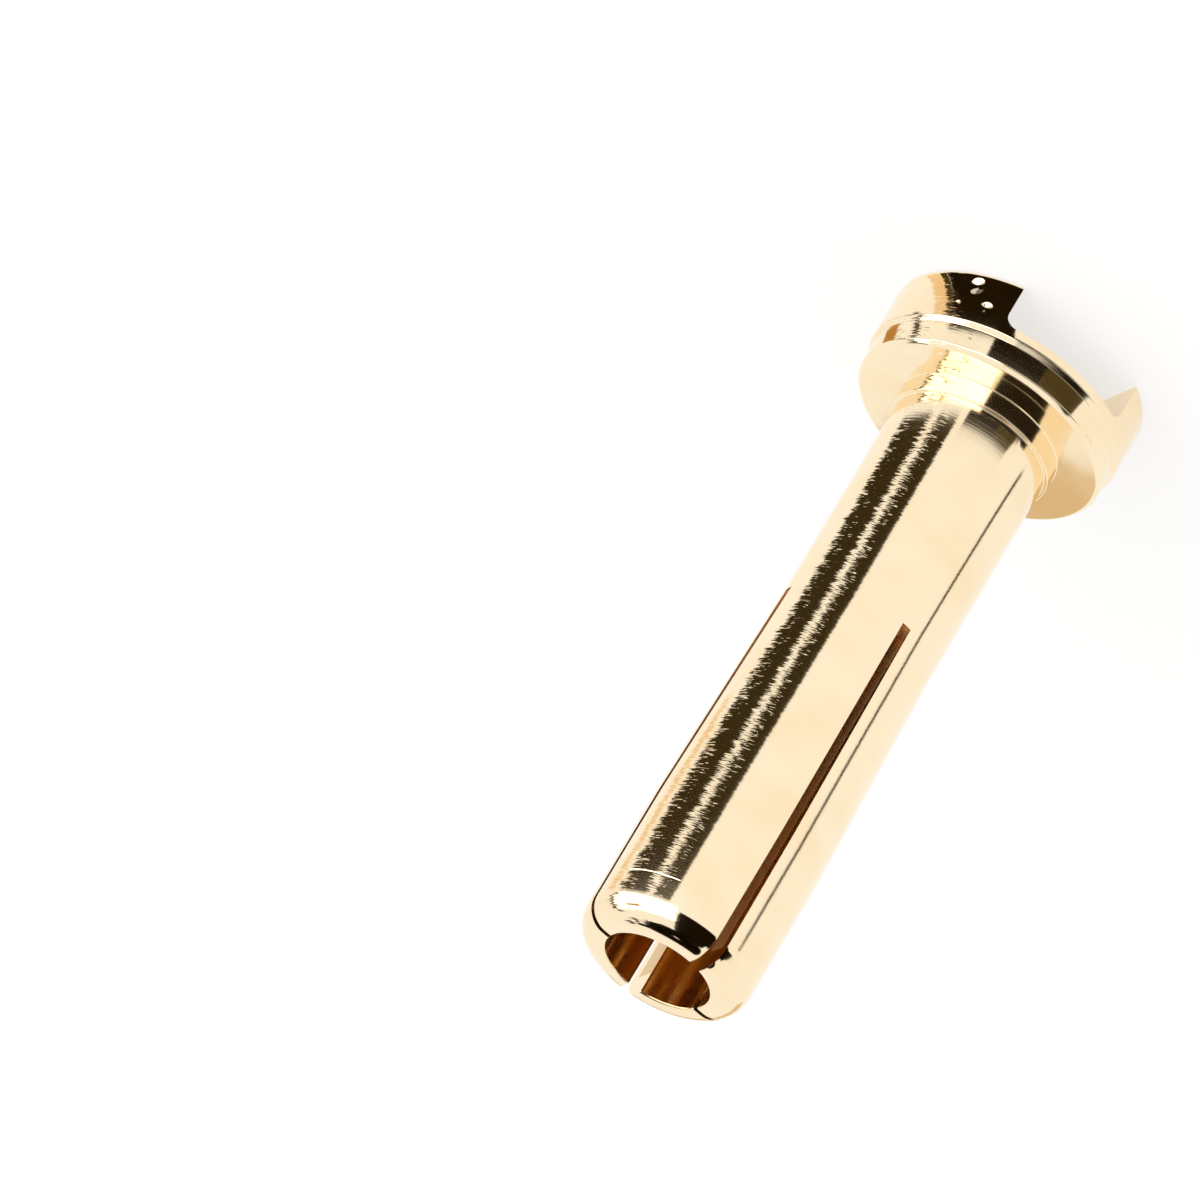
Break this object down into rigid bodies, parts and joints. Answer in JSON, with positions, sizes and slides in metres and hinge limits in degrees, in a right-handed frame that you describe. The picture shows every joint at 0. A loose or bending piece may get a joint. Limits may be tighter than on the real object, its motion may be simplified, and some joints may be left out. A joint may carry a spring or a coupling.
{
  "type": "battery lead connector",
  "caption": "Low-profile male bullet plug: sprung slotted barrel with a round nose, on a short round head with a solder cup and a wire notch cut through its side.",
  "frame": {"origin": "centre of the head's flat face, on the barrel's axis, where the connector stands", "axes": "+Z along the barrel from the head to the nose; +X out of the wire notch"},
  "size_m": [0.0064, 0.0064, 0.018],
  "materials": {
    "gold_plate": "bright gold plating over turned brass"
  },
  "bodies": {
    "root": {"connector": "gold_plate"}
  },
  "joints": []
}
